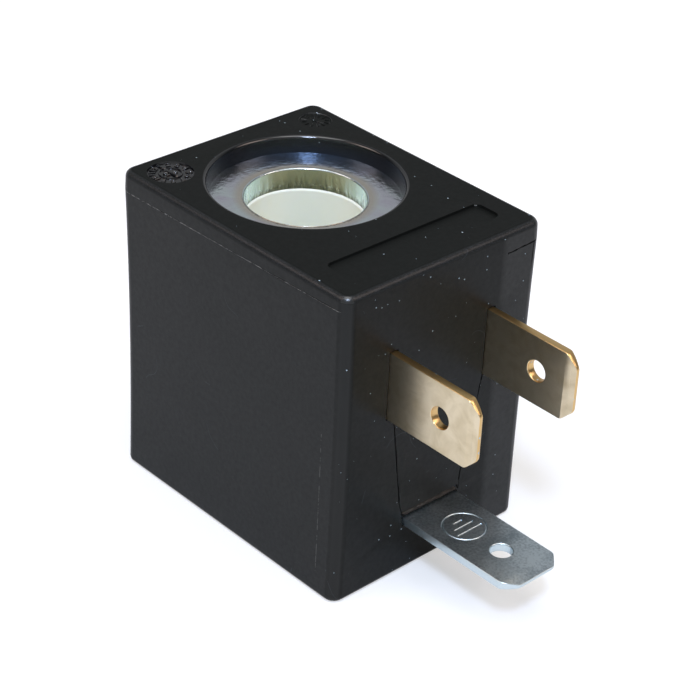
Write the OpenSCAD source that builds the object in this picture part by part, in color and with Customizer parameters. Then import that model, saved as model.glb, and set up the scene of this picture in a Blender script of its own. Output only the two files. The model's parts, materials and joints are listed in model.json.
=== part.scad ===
// Coil of a small solenoid valve: a wound bobbin in a bent steel yoke, moulded into one plastic body.
// The bore takes the valve's armature tube, and three flat blades take the plug.
// The origin is on the bore axis at the underside, +Z runs up the bore, and the blades point along -Y.

/* [Bobbin] */
// Diameter of the bore that takes the armature tube
bore_d = 10.4; // [8:0.1:14]
// Wall of the bobbin's tube
tube_wall = 0.8; // [0.5:0.05:1.5]
// Thickness of each flange
flange_t = 1.2; // [0.9:0.1:2]
// How far the flanges stand out past the winding
flange_rim = 1.15; // [0.8:0.05:2]
// Bevel at both mouths of the tube
mouth_bevel = 0.25; // [0.1:0.05:0.4]
// Width of each block that holds a line terminal
carrier_w = 3.2; // [2.4:0.1:4]
// Length of each block, along the terminal
carrier_l = 3.9; // [3:0.1:6]
// Plastic under and above the terminal's root
carrier_floor = 0.9; // [0.6:0.1:1.5]
// How far the shelf reaches past the blocks on each side
shelf_rim = 0.5; // [0.2:0.1:0.8]

/* [Winding] */
// Thickness of the wound copper
winding_t = 2.05; // [1.2:0.05:4]
// Height of the winding between the flanges
winding_h = 18.8; // [15:0.2:30]
// Thickness of the tape round the winding
tape_t = 0.12; // [0.06:0.02:0.3]
// Winding left bare above and below the tape
tape_inset = 1; // [0.9:0.1:2]
// Diameter of each twisted wire end
lead_d = 0.5; // [0.3:0.05:0.7]
// Room between the tape and the wire ends
lead_room = 0.33; // [0.2:0.01:0.8]
// Radius of the solder on each wire end
solder_r = 1.25; // [1.1:0.05:1.5]

/* [Yoke] */
// Thickness of the steel strip
yoke_t = 2; // [1.5:0.1:3]
// Inside radius of the bends
bend_r = 0.6; // [0.3:0.1:1]
// Width of steel that shows round the bore
seat_w = 3; // [2:0.05:3.5]
// How far the plates run on under the moulded rim
plate_lap = 0.8; // [0.6:0.05:1.5]
// Room between the tape and the leg
leg_room = 0.3; // [0.2:0.05:1]
// Corner radius of the plates' free ends
plate_corner_r = 1.5; // [0.5:0.1:3]

/* [Blades] */
// Width of the flat blades
blade_w = 6.3; // [4.8:0.1:7]
// Thickness of the blades
blade_t = 0.8; // [0.5:0.1:1]
// Distance between the two line blades
blade_pitch = 11; // [10:0.1:12]
// Middle of the line blades below the top face
line_drop = 9.7; // [8.5:0.05:11]
// Length of the line blades outside the body
line_reach = 9.75; // [8:0.05:12]
// Length of the earth blade outside the body
earth_reach = 12.35; // [9:0.05:16]
// Diameter of the detent hole
detent_d = 1.9; // [1.4:0.1:2.2]
// Middle of the detent hole from the tip
detent_inset = 4.05; // [3.5:0.05:4.5]
// Cut at the corners of the tip
tip_cut = 1.1; // [0.6:0.1:1.4]
// Length of the thinned tip
tip_bevel = 1.1; // [0.6:0.1:1.4]
// Thickness at the very end of the tip
tip_t = 0.4; // [0.3:0.05:0.45]
// Height of the root inside the bobbin's block
root_w = 4; // [3:0.1:4.4]
// Height of the tang that takes the wire end
tang_w = 1.4; // [1:0.1:1.6]

/* [Earth joint] */
// Diameter of the rivet's shank
rivet_d = 2.4; // [1.8:0.1:3]
// Diameter of the rivet's heads
rivet_head_d = 3.8; // [3.4:0.1:4.2]
// Height of the rivet's heads
rivet_head_h = 0.7; // [0.4:0.1:1]
// Middle of the rivet from the ends of the strips it joins
rivet_edge = 2; // [1.8:0.1:2.2]
// Room between the lower flange and the earth strip
earth_room = 1.5; // [1.2:0.1:3]
// Width of the yoke's tongue that carries the earth strip
tongue_w = 8.3; // [7.2:0.1:10]

/* [Moulded body] */
// Wall beside the coil
side_wall = 1.8; // [1.3:0.1:4]
// Wall behind the yoke
back_wall = 0.8; // [0.6:0.1:4]
// Wall in front of the blocks
front_wall = 3.05; // [2.2:0.05:6]
// Depth of the round recess in the top
top_recess = 1.5; // [1:0.1:2.5]
// Depth of the round recess in the underside
base_recess = 2.7; // [1.5:0.1:4]
// Flare of the recess walls
recess_flare = 0.3; // [0.1:0.05:0.4]
// Rounding of the recess rims
recess_rim_r = 0.15; // [0.1:0.05:0.4]
// Radius of the upright edges
corner_r = 1.1; // [0.8:0.1:2]
// Radius of the top edges
top_edge_r = 0.6; // [0.3:0.05:0.75]
// Bevel round the underside
foot_bevel = 0.25; // [0.1:0.05:0.4]
// Taper of each wall from the parting line down to the underside
draft = 0.1; // [0.05:0.05:0.4]
// Taper of each wall from the parting line up to the top
cap_draft = 0.05; // [0.02:0.01:0.1]
// Parting line below the top face
parting_drop = 1.7; // [1.4:0.1:3]

/* [Marks in the top] */
// Length of the shallow pocket
pocket_l = 17.1; // [10:0.1:18]
// Width of the shallow pocket
pocket_w = 2.95; // [1.5:0.05:3.5]
// Corner radius of the shallow pocket
pocket_r = 0.7; // [0.3:0.1:0.7]
// Front edge of the pocket from the terminal face
pocket_inset = 2.5; // [2:0.05:3]
// Diameter of the large date dial
dial_d = 4; // [3:0.1:4]
// Middle of the large dial from the side face
dial_side = 2.95; // [2.9:0.05:3.2]
// Middle of the large dial from the back face
dial_rear = 3.25; // [2.9:0.05:3.4]
// Diameter of the small date dial
small_dial_d = 3; // [2:0.1:3]
// Middle of the small dial from the side face
small_dial_side = 2.55; // [2.5:0.05:3.2]
// Middle of the small dial from the back face
small_dial_rear = 3; // [2.5:0.05:3.4]
// Depth of the pocket and the dials
mark_depth = 0.15; // [0.05:0.05:0.4]

/* [Hidden] */
$fn = 64;
// sides of the round pieces in a hull
hull_fn = 32;
wire_fn = 16;
// gap left between neighbouring pieces
gap = 0.05;
// thickness of the thin discs that span a hull
sheet = 0.01;
// overlap that carries a cut clean through a face
over = 1;

// radii about the bore
bore_r = bore_d / 2;
tube_r = bore_r + tube_wall;
winding_r = tube_r + winding_t;
tape_r = winding_r + gap + tape_t;
flange_r = winding_r + flange_rim;
recess_r = bore_r + seat_w;
lead_r = lead_d / 2;

// heights, from the underside up
plate_z0 = base_recess;
bobbin_z0 = plate_z0 + yoke_t;
winding_z0 = bobbin_z0 + flange_t;
winding_z1 = winding_z0 + winding_h;
bobbin_z1 = winding_z1 + flange_t;
plate_z1 = bobbin_z1 + yoke_t;
body_h = plate_z1 + top_recess;
line_z = body_h - line_drop;

// distances from the bore axis
plate_half = recess_r + plate_lap;
yoke_inner = tape_r + leg_room;
yoke_back = yoke_inner + yoke_t;
tang_mid = tape_r + lead_room + lead_r;
tang_l = 2 * (solder_r + 2 * gap);
carrier_back = tang_mid + tang_l / 2;
carrier_front = carrier_back + carrier_l;
finish_x = winding_r + gap + lead_r;
body_half = max(flange_r, plate_half, finish_x + lead_r) + side_wall;
body_back = yoke_back + back_wall;
body_front = carrier_front + front_wall;
earth_end = flange_r + earth_room;
rivet_y = earth_end + rivet_edge;
tongue_end = rivet_y + rivet_edge;

// wire ends: each lies against the outer face of its terminal's tang
tang_face = blade_pitch / 2 + blade_t / 2 + gap + lead_r;
start_x = max(tube_r + gap + lead_r, tang_face);
start_z = winding_z1 + gap + lead_r;
finish_z = winding_z1 - tape_inset / 2;
solder_x = blade_pitch / 2 + (gap + lead_d) / 2;
start_path = [
    [-start_x, 0, start_z],
    [-start_x, -tang_mid, start_z],
    [-start_x, -tang_mid, line_z]
];
finish_path = [
    [finish_x, 0, finish_z],
    [finish_x, -tang_mid, finish_z],
    [finish_x, -tang_mid, line_z],
    [tang_face, -tang_mid, line_z]
];

// A tube standing on z
module ring(r_out, r_in, h) {
    difference() {
        cylinder(r = r_out, h = h);
        translate([0, 0, -over]) cylinder(r = r_in, h = h + 2 * over);
    }
}

// A flat outline with round corners, centred
module rounded_outline(l, w, r) {
    square([l - 2 * r, w], center = true);
    square([l, w - 2 * r], center = true);
    for (sx = [-1, 1], sy = [-1, 1])
        translate([sx * (l / 2 - r), sy * (w / 2 - r)]) circle(r);
}

// A box between two corners, grown by g on every side
module span(low, high, g = 0) {
    translate(low - [g, g, g]) cube(high - low + 2 * [g, g, g]);
}

// Flat blade that lies in X and Y, with the body face at y = 0 and the tip at -reach
module blade(reach, inside) {
    difference() {
        intersection() {
            translate([0, 0, -blade_t]) linear_extrude(2 * blade_t) polygon([
                [-blade_w / 2, inside],
                [-blade_w / 2, -reach + tip_cut],
                [-blade_w / 2 + tip_cut, -reach],
                [blade_w / 2 - tip_cut, -reach],
                [blade_w / 2, -reach + tip_cut],
                [blade_w / 2, inside]
            ]);
            rotate([90, 0, 90]) linear_extrude(2 * blade_w, center = true) polygon([
                [inside, -blade_t / 2],
                [-reach + tip_bevel, -blade_t / 2],
                [-reach, -tip_t / 2],
                [-reach, tip_t / 2],
                [-reach + tip_bevel, blade_t / 2],
                [inside, blade_t / 2]
            ]);
        }
        translate([0, -reach + detent_inset, -blade_t]) cylinder(d = detent_d, h = 2 * blade_t);
    }
}

// Upright terminal: blade outside, root in the bobbin's block and a tang for the wire end
module line_terminal(side) {
    translate([side * blade_pitch / 2, -body_front, line_z]) rotate([0, 90, 0]) {
        blade(line_reach, front_wall);
        span([-root_w / 2, front_wall, -blade_t / 2], [root_w / 2, front_wall + carrier_l, blade_t / 2]);
        span(
            [-tang_w / 2, front_wall + carrier_l, -blade_t / 2],
            [tang_w / 2, front_wall + carrier_l + tang_l, blade_t / 2]
        );
    }
}

module left_terminal() {
    color("#b99a5b") line_terminal(-1);
}

module right_terminal() {
    color("#b99a5b") line_terminal(1);
}

// Flat strip from the tongue of the yoke out through the terminal face
module earth_terminal() {
    color("#a9b0b5") difference() {
        translate([0, -body_front, bobbin_z0 + gap + blade_t / 2]) blade(earth_reach, body_front - earth_end);
        translate([0, -rivet_y, bobbin_z0]) cylinder(d = rivet_d + 2 * gap, h = 4 * blade_t);
    }
}

// Rivet with a bevelled head on each side, grown by g for its cavity
module rivet_shape(g = 0) {
    low = plate_z0 - gap;
    high = bobbin_z0 + blade_t + 2 * gap;
    head_r = rivet_head_d / 2;
    bevel = rivet_head_h / 2;
    translate([0, -rivet_y, 0]) rotate_extrude() polygon([
        [0, low - rivet_head_h - g],
        [head_r - bevel + g, low - rivet_head_h - g],
        [head_r + g, low - bevel],
        [head_r + g, low],
        [rivet_d / 2, low],
        [rivet_d / 2, high],
        [head_r + g, high],
        [head_r + g, high + bevel],
        [head_r - bevel + g, high + rivet_head_h + g],
        [0, high + rivet_head_h + g]
    ]);
}

module earth_rivet() {
    color("#9a9da1") rivet_shape();
}

// C outline of the yoke seen from the side, in y and z, grown by g
module yoke_outline(g = 0) {
    bend_out = bend_r + yoke_t + g;
    bend_in = bend_r - g;
    difference() {
        bent_block(-plate_half - g, yoke_back + g, plate_z0 - g, plate_z1 + g, bend_out);
        bent_block(-plate_half - over, yoke_inner - g, bobbin_z0 + g, bobbin_z1 - g, bend_in);
    }
}

// Rectangle whose two corners at the far end in y are round
module bent_block(y0, y1, z0, z1, r) {
    translate([y0, z0]) square([y1 - r - y0, z1 - z0]);
    translate([y1 - 2 * r, z0 + r]) square([2 * r, z1 - z0 - 2 * r]);
    for (z = [z0 + r, z1 - r])
        translate([y1 - r, z]) circle(r);
}

// Bent strip with its tongue, not yet punched, grown by g
module yoke_blank(g = 0) {
    rotate([90, 0, 90]) linear_extrude(2 * (plate_half + g), center = true) yoke_outline(g);
    span([-tongue_w / 2, -tongue_end, plate_z0], [tongue_w / 2, -plate_half + over, bobbin_z0], g);
}

// What is cut off a square corner at the origin to leave it round
module corner_cut(h) {
    difference() {
        translate([-over, -over, 0]) cube([plate_corner_r + over, plate_corner_r + over, h]);
        translate([plate_corner_r, plate_corner_r, -over]) cylinder(r = plate_corner_r, h = h + 2 * over);
    }
}

module yoke() {
    color("#9a9ba6") difference() {
        yoke_blank();
        translate([0, 0, plate_z0 - over]) cylinder(r = bore_r, h = plate_z1 - plate_z0 + 2 * over);
        translate([0, -rivet_y, plate_z0 - over]) cylinder(d = rivet_d + 2 * gap, h = yoke_t + 2 * over);
        for (side = [0, 1]) mirror([side, 0, 0])
            translate([-plate_half, -plate_half, bobbin_z1 - over]) corner_cut(yoke_t + 2 * over);
    }
}

// Round flange with a flat where it meets the yoke's leg, grown by g
module flange(z, g = 0) {
    intersection() {
        translate([0, 0, z - g]) cylinder(r = flange_r + g, h = flange_t + 2 * g);
        span([-2 * flange_r, -2 * flange_r, z], [2 * flange_r, yoke_inner - gap, z + flange_t], g);
    }
}

// Shelf in front of the upper flange and the blocks that hang from it, grown by g
module terminal_shelf(g = 0) {
    shelf_half = blade_pitch / 2 + carrier_w / 2 + shelf_rim;
    span([-shelf_half, -carrier_front, winding_z1], [shelf_half, -tube_r, bobbin_z1], g);
    for (side = [-1, 1]) span(
        [side * blade_pitch / 2 - carrier_w / 2, -carrier_front, line_z - root_w / 2 - carrier_floor],
        [side * blade_pitch / 2 + carrier_w / 2, -carrier_back, winding_z1 + flange_t / 2],
        g
    );
}

module bobbin() {
    color("#d2d3c6") difference() {
        union() {
            translate([0, 0, bobbin_z0]) cylinder(r = tube_r, h = bobbin_z1 - bobbin_z0);
            flange(bobbin_z0);
            flange(winding_z1);
            terminal_shelf();
        }
        translate([0, 0, bobbin_z0 - over]) cylinder(r = bore_r, h = bobbin_z1 - bobbin_z0 + 2 * over);
        translate([0, 0, bobbin_z0]) cylinder(r1 = bore_r + mouth_bevel, r2 = bore_r, h = mouth_bevel);
        translate([0, 0, bobbin_z1 - mouth_bevel])
            cylinder(r1 = bore_r, r2 = bore_r + mouth_bevel, h = mouth_bevel);
        // slit that lets the start of the wire out over the winding
        span(
            [-start_x - lead_r - 2 * gap, -tang_mid - lead_r - 2 * gap, winding_z1 - over],
            [-start_x + lead_r + gap, lead_r + 2 * gap, bobbin_z1 + over]
        );
        // windows for the roots of the line terminals
        for (side = [-1, 1]) span(
            [side * blade_pitch / 2 - blade_t / 2, -carrier_front - over, line_z - root_w / 2],
            [side * blade_pitch / 2 + blade_t / 2, -carrier_back + over, line_z + root_w / 2],
            gap
        );
    }
}

module winding() {
    color("#b0602c") translate([0, 0, winding_z0 + gap]) ring(winding_r, tube_r + gap, winding_h - 2 * gap);
}

module winding_tape() {
    color("#c9a14a") translate([0, 0, winding_z0 + tape_inset])
        ring(tape_r, winding_r + gap, winding_h - 2 * tape_inset);
}

// Twisted wire end along straight runs
module lead(path) {
    for (i = [0 : len(path) - 2]) hull() {
        translate(path[i]) sphere(lead_r, $fn = wire_fn);
        translate(path[i + 1]) sphere(lead_r, $fn = wire_fn);
    }
}

// Square channel that holds a wire end
module lead_channel(path) {
    half = lead_r * [1, 1, 1];
    for (i = [0 : len(path) - 2]) {
        a = path[i];
        b = path[i + 1];
        low = [for (k = [0 : 2]) min(a[k], b[k])];
        high = [for (k = [0 : 2]) max(a[k], b[k])];
        span(low - half, high + half, gap);
    }
}

module start_lead() {
    color("#b87333") lead(start_path);
}

module finish_lead() {
    color("#b87333") lead(finish_path);
}

// Tang of a line terminal, grown by g
module tang(side, g) {
    x = side * blade_pitch / 2;
    span(
        [x - blade_t / 2, -carrier_back, line_z - tang_w / 2],
        [x + blade_t / 2, -carrier_back + tang_l, line_z + tang_w / 2],
        g
    );
}

// Ball round a tang and the wire end beside it, turned so that its seam lies clear of both, grown by g
module solder_ball(side, g = 0) {
    translate([side * solder_x, -tang_mid, line_z]) rotate([0, 0, 45]) sphere(solder_r + g);
}

module solder_joint(side, path) {
    difference() {
        solder_ball(side);
        tang(side, gap);
        lead_channel([path[len(path) - 2], path[len(path) - 1]]);
    }
}

module left_solder_joint() {
    color("#b9bcc0") solder_joint(-1, start_path);
}

module right_solder_joint() {
    color("#b9bcc0") solder_joint(1, finish_path);
}

// Top of one corner of the skin, turned about z: flat in the middle and round at the edge
module shoulder() {
    flat_r = corner_r - top_edge_r;
    rotate_extrude() {
        square([flat_r, top_edge_r]);
        translate([flat_r, 0]) intersection() {
            circle(top_edge_r);
            square(top_edge_r);
        }
    }
}

// One level of the outer skin: the same piece at each corner, inset from the parting line
module skin_level(inset, z) {
    x = body_half - corner_r - inset;
    for (sx = [-1, 1], y = [-body_front + corner_r + inset, body_back - corner_r - inset])
        translate([sx * x, y, z]) children();
}

// Outer skin, widest at the parting line, with round upright and top edges
module skin() {
    hull() {
        skin_level(draft, 0) cylinder(r = corner_r - foot_bevel, h = sheet, $fn = hull_fn);
        skin_level(draft, foot_bevel) cylinder(r = corner_r, h = sheet, $fn = hull_fn);
        skin_level(0, body_h - parting_drop) cylinder(r = corner_r, h = sheet, $fn = hull_fn);
        skin_level(cap_draft, body_h - top_edge_r) shoulder($fn = hull_fn);
    }
}

// Round recess with its mouth at z = 0: floor at -depth, flared wall and round rim
module recess(depth) {
    wall_r = recess_r + recess_flare;
    rotate_extrude() {
        polygon([
            [0, -depth],
            [recess_r, -depth],
            [wall_r, -recess_rim_r],
            [wall_r, over],
            [0, over]
        ]);
        difference() {
            translate([wall_r - recess_rim_r, -recess_rim_r]) square([2 * recess_rim_r, recess_rim_r + over]);
            translate([wall_r + recess_rim_r, -recess_rim_r]) circle(recess_rim_r);
        }
    }
}

// Shallow pocket and two round dials sunk in the top
module top_marks() {
    translate([0, -body_front + pocket_inset + pocket_w / 2, body_h - mark_depth])
        linear_extrude(mark_depth + over) rounded_outline(pocket_l, pocket_w, pocket_r);
    translate([-body_half + dial_side, body_back - dial_rear, body_h - mark_depth])
        cylinder(d = dial_d, h = mark_depth + over);
    translate([body_half - small_dial_side, body_back - small_dial_rear, body_h - mark_depth])
        cylinder(d = small_dial_d, h = mark_depth + over);
}

// Space that the bobbin, its winding and the wire ends take up inside the body
module coil_cavity() {
    translate([0, 0, bobbin_z0 - gap]) cylinder(r = tape_r + gap, h = bobbin_z1 - bobbin_z0 + 2 * gap);
    flange(bobbin_z0, gap);
    flange(winding_z1, gap);
    terminal_shelf(gap);
    lead_channel(start_path);
    lead_channel(finish_path);
    for (side = [-1, 1]) {
        tang(side, gap);
        solder_ball(side, gap);
    }
}

// Slots for the three blades and the earth joint
module blade_cavity() {
    for (side = [-1, 1]) span(
        [side * blade_pitch / 2 - blade_t / 2, -body_front - over, line_z - blade_w / 2],
        [side * blade_pitch / 2 + blade_t / 2, -carrier_front, line_z + blade_w / 2],
        gap
    );
    span(
        [-blade_w / 2, -body_front - over, bobbin_z0 + gap],
        [blade_w / 2, -earth_end, bobbin_z0 + gap + blade_t],
        gap
    );
    rivet_shape(gap);
}

module encapsulation() {
    color("#26272a") difference() {
        skin();
        translate([0, 0, body_h]) recess(top_recess);
        rotate([180, 0, 0]) recess(base_recess);
        top_marks();
        yoke_blank(gap);
        coil_cavity();
        blade_cavity();
    }
}

encapsulation();
yoke();
bobbin();
winding();
winding_tape();
left_terminal();
right_terminal();
earth_terminal();
earth_rivet();
start_lead();
finish_lead();
left_solder_joint();
right_solder_joint();
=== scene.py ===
import json
import math
import random

import bmesh
import bpy
from mathutils import Matrix, Vector

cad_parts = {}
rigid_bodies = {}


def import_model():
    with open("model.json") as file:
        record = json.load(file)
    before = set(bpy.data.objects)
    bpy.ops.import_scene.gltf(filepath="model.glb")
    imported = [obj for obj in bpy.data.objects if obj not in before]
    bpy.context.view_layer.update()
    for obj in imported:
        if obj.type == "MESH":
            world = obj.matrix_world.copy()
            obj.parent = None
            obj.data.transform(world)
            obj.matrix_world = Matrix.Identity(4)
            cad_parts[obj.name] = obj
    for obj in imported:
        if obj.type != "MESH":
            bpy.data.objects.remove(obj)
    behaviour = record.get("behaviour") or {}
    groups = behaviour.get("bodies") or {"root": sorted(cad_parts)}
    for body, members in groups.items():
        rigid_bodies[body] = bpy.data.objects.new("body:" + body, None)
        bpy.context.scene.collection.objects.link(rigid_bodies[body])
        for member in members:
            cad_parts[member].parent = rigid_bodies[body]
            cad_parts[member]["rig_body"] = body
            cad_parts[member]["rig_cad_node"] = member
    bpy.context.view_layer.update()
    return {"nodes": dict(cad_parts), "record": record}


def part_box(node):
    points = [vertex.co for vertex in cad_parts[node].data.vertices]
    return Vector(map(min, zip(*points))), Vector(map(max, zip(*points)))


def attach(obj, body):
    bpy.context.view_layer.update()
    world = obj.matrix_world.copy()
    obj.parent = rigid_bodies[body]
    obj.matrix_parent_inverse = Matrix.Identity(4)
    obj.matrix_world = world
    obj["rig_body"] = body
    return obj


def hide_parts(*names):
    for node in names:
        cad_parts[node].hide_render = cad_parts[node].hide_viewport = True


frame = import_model()
mm = 0.001  # pieces are modelled in millimetres and brought to metres when they are finished
print("frame:", len(frame["nodes"]), "nodes")


def boxOf(node):
    low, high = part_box(node)
    return low / mm, high / mm


bodyLow, bodyHigh = boxOf("encapsulation")
yokeLow, yokeHigh = boxOf("yoke")
bobbinLow, bobbinHigh = boxOf("bobbin")
windingLow, windingHigh = boxOf("winding")
tapeLow, tapeHigh = boxOf("winding_tape")
lineLow, lineHigh = boxOf("left_terminal")
earthLow, earthHigh = boxOf("earth_terminal")
rivetLow, rivetHigh = boxOf("earth_rivet")
rivetY = (rivetLow.y + rivetHigh.y) / 2
mounts = {mount["name"]: mount for mount in frame["record"]["mounts"]}
boreRadius = mounts["armature_bore"]["dims"]["r_mm"]


# Camera, at the photograph's place

cameraView = {
    "place": (-107.554, -117.511, 110.659),  # from the bore axis at the underside
    "azimuth": -44.041,
    "elevation": 31.535,
    "roll": 2.9,
    "lens": 109.436,
    "sensor": 36,
    "nearest": 10,
}


def setCamera():
    view = cameraView
    bpy.ops.object.camera_add()
    camera = bpy.context.object
    camera.name = "photo_camera"
    turn = Matrix.Rotation(math.radians(view["azimuth"]), 4, "Z")
    tilt = Matrix.Rotation(math.radians(90 - view["elevation"]), 4, "X")
    roll = Matrix.Rotation(math.radians(view["roll"]), 4, "Z")
    camera.matrix_world = Matrix.Translation(Vector(view["place"]) * mm) @ turn @ tilt @ roll
    camera.data.sensor_width = view["sensor"]
    camera.data.lens = view["lens"]
    camera.data.clip_start = view["nearest"] * mm
    bpy.context.scene.camera = camera
    print("camera set")


# Tools for modelling

seamGap = 0.0008  # vertices nearer than this are one


def clearSelection():
    if bpy.context.object and bpy.context.object.mode != "OBJECT":
        bpy.ops.object.mode_set(mode="OBJECT")
    bpy.ops.object.select_all(action="DESELECT")


def takeUp(piece, mode="EDIT"):
    clearSelection()
    piece.select_set(True)
    bpy.context.view_layer.objects.active = piece
    bpy.ops.object.mode_set(mode=mode)


def applyPlace():
    bpy.ops.object.transform_apply(location=True, rotation=True, scale=True)


def pick(piece, kind, test):
    bpy.ops.mesh.select_mode(type=kind)
    bpy.ops.mesh.select_all(action="DESELECT")
    mesh = bmesh.from_edit_mesh(piece.data)
    for item in {"VERT": mesh.verts, "EDGE": mesh.edges, "FACE": mesh.faces}[kind]:
        if test(item):
            item.select_set(True)
    mesh.select_flush_mode()
    bmesh.update_edit_mesh(piece.data)


def pickAll():
    bpy.ops.mesh.select_all(action="SELECT")


def allNear(item, axis, value, slack=0.002):
    return all(abs(vertex.co[axis] - value) < slack for vertex in item.verts)


def riseOf(edge):
    return abs(edge.verts[0].co.z - edge.verts[1].co.z)


def drawOut(way):
    bpy.ops.mesh.extrude_region_move(TRANSFORM_OT_translate={"value": way})


def roundEdges(size, steps):
    bpy.ops.mesh.bevel(offset=size, segments=steps, profile=0.5, affect="EDGES")


def named(name):
    piece = bpy.context.object
    piece.name = piece.data.name = name
    return piece


def addBlock(name, low, high):
    low, high = Vector(low), Vector(high)
    clearSelection()
    bpy.ops.mesh.primitive_cube_add(size=1, location=(low + high) / 2, scale=high - low)
    applyPlace()
    return named(name)


def drawPath(name, points, filled=False):
    # one vertex, drawn out from point to point
    clearSelection()
    bpy.ops.mesh.primitive_plane_add(size=1, location=points[0])
    applyPlace()
    path = named(name)
    takeUp(path)
    pickAll()
    bpy.ops.mesh.merge(type="CENTER")
    for start, end in zip(points, points[1:]):
        drawOut(Vector(end) - Vector(start))
    if filled:
        ends = [Vector(points[0]), Vector(points[-1])]
        pick(path, "VERT", lambda v: min((v.co - end).length for end in ends) < seamGap / 2)
        bpy.ops.mesh.edge_face_add()
        pickAll()
        bpy.ops.mesh.edge_face_add()
    return path


def closeSeams(piece):
    takeUp(piece)
    bpy.ops.mesh.select_mode(type="VERT")
    pickAll()
    bpy.ops.mesh.remove_doubles(threshold=seamGap)
    bpy.ops.mesh.normals_make_consistent(inside=False)
    bpy.ops.object.mode_set(mode="OBJECT")


def turnProfile(name, profile, steps, ring=False):
    # radius and height pairs, spun once round the bore axis
    points = [(radius, 0, height) for radius, height in profile]
    if ring:
        points.append(points[0])
    piece = drawPath(name, points)
    pickAll()
    bpy.ops.mesh.spin(steps=steps, angle=math.tau, center=(0, 0, 0), axis=(0, 0, 1))
    closeSeams(piece)
    return piece


def turnRod(name, radius, low, high, steps):
    return turnProfile(name, [(0, low), (radius, low), (radius, high), (0, high)], steps)


def roundCorner(centre, radius, start, end, steps):
    # points of an arc as pairs, angles in degrees, radius one number or a pair
    wide, high = radius if isinstance(radius, tuple) else (radius, radius)
    angles = [math.radians(start + (end - start) * step / steps) for step in range(steps + 1)]
    return [(centre[0] + wide * math.cos(a), centre[1] + high * math.sin(a)) for a in angles]


def place(piece, shift=(0, 0, 0), turnAbout=None, angle=0):
    takeUp(piece, "OBJECT")
    turn = Matrix.Rotation(math.radians(angle), 4, turnAbout) if turnAbout else Matrix.Identity(4)
    piece.matrix_world = Matrix.Translation(shift) @ turn @ piece.matrix_world
    applyPlace()
    return piece


def combine(piece, tool, how="DIFFERENCE"):
    takeUp(piece, "OBJECT")
    bpy.ops.object.modifier_add(type="BOOLEAN")
    change = piece.modifiers[-1]
    change.operation = how
    change.solver = "MANIFOLD"
    change.object = tool
    bpy.ops.object.modifier_apply(modifier=change.name)
    bpy.data.objects.remove(tool)


def copyOf(piece, name):
    takeUp(piece, "OBJECT")
    bpy.ops.object.duplicate(linked=False)
    return named(name)


def cadCopy(node):
    # the node's own triangles, merged and in millimetres
    copied = copyOf(frame["nodes"][node], node + "_copy")
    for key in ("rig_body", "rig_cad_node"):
        del copied[key]
    copied.parent = None
    copied.scale = Vector((1, 1, 1)) / mm
    applyPlace()
    closeSeams(copied)
    return copied


def softTube(name, points, radius, widths):
    # a thin bead along the points, with its own width at each
    drawPath(name, points)
    bpy.ops.object.mode_set(mode="OBJECT")
    bpy.ops.object.convert(target="CURVE")
    curve = bpy.context.object.data
    curve.bevel_depth = radius
    curve.bevel_resolution = 1
    curve.use_fill_caps = True
    for spline in curve.splines:
        for point, width in zip(spline.points, widths):
            point.radius = width
    bpy.ops.object.convert(target="MESH")
    tube = named(name)
    closeSeams(tube)
    return tube


def raggedPoints(corners, step, stray, draw):
    # points every step along the corners, each a little off the line
    points = []
    for start, end in zip(corners, corners[1:]):
        start, end = Vector(start), Vector(end)
        count = max(1, round((end - start).length / step))
        points += [start.lerp(end, index / count) for index in range(count)]
    points.append(Vector(corners[-1]))
    return [p + Vector([draw.uniform(-stray, stray) for axis in range(3)]) for p in points]


def finishPiece(piece, material, slot, *nodes, sharp=40):
    takeUp(piece, "OBJECT")
    piece.scale = (mm, mm, mm)
    applyPlace()
    bpy.ops.object.shade_smooth_by_angle(angle=math.radians(sharp))
    bpy.ops.object.modifier_add(type="WEIGHTED_NORMAL")
    piece.modifiers[-1].keep_sharp = True
    bpy.ops.object.modifier_apply(modifier=piece.modifiers[-1].name)
    piece.data.materials.clear()
    piece.data.materials.append(material)
    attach(piece, "root")
    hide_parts(*nodes)
    print("made", piece.name, len(piece.data.polygons), "faces")


# Tools for materials

def colour(hexCode):
    # sRGB hex to linear
    parts = [int(hexCode[i:i + 2], 16) / 255 for i in (1, 3, 5)]
    return (*[c / 12.92 if c <= 0.04045 else ((c + 0.055) / 1.055) ** 2.4 for c in parts], 1)


def perSize(size):
    # how many of a pattern that is size millimetres wide fit in a metre
    return 1 / (size * mm)


def addNode(tree, kind, values=None, **settings):
    # a value is a number, a colour, a socket, or a node, which stands for its first output in use
    node = tree.nodes.new("ShaderNode" + kind)
    for name, value in settings.items():
        setattr(node, name, value)
    for socket, value in (values or {}).items():
        if isinstance(value, bpy.types.Node):
            value = next(output for output in value.outputs if output.enabled)
        if isinstance(value, bpy.types.NodeSocket):
            tree.links.new(value, node.inputs[socket])
        else:
            node.inputs[socket].default_value = value
    return node


def emptyTree(owner):
    owner.use_nodes = True
    owner.node_tree.nodes.clear()
    return owner.node_tree


def newMaterial(name):
    material = bpy.data.materials.new(name)
    tree = emptyTree(material)
    return material, tree, addNode(tree, "TexCoord").outputs


def dustMask(tree, where, spacing, share, size):
    # round specks up to size wide, in a share of the cells of a spaced pattern
    cell = addNode(tree, "TexVoronoi", {"Vector": where, "Scale": perSize(spacing)}).outputs
    luck = addNode(tree, "SeparateColor", {"Color": cell["Color"]}).outputs["Red"]
    reach = addNode(tree, "MapRange", {
        "Value": luck, "From Min": 1 - share, "From Max": 1, "To Min": 0, "To Max": size / 2 / spacing,
    })
    return addNode(tree, "Math", {0: cell["Distance"], 1: reach}, operation="LESS_THAN")


# Glass-filled polyamide, moulded in a spark-eroded tool.
# Near black and satin, clouded by the flow of the melt, with hairline scratches and pale dust.
# The top comes from a coarser insert and is more matt.

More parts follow.
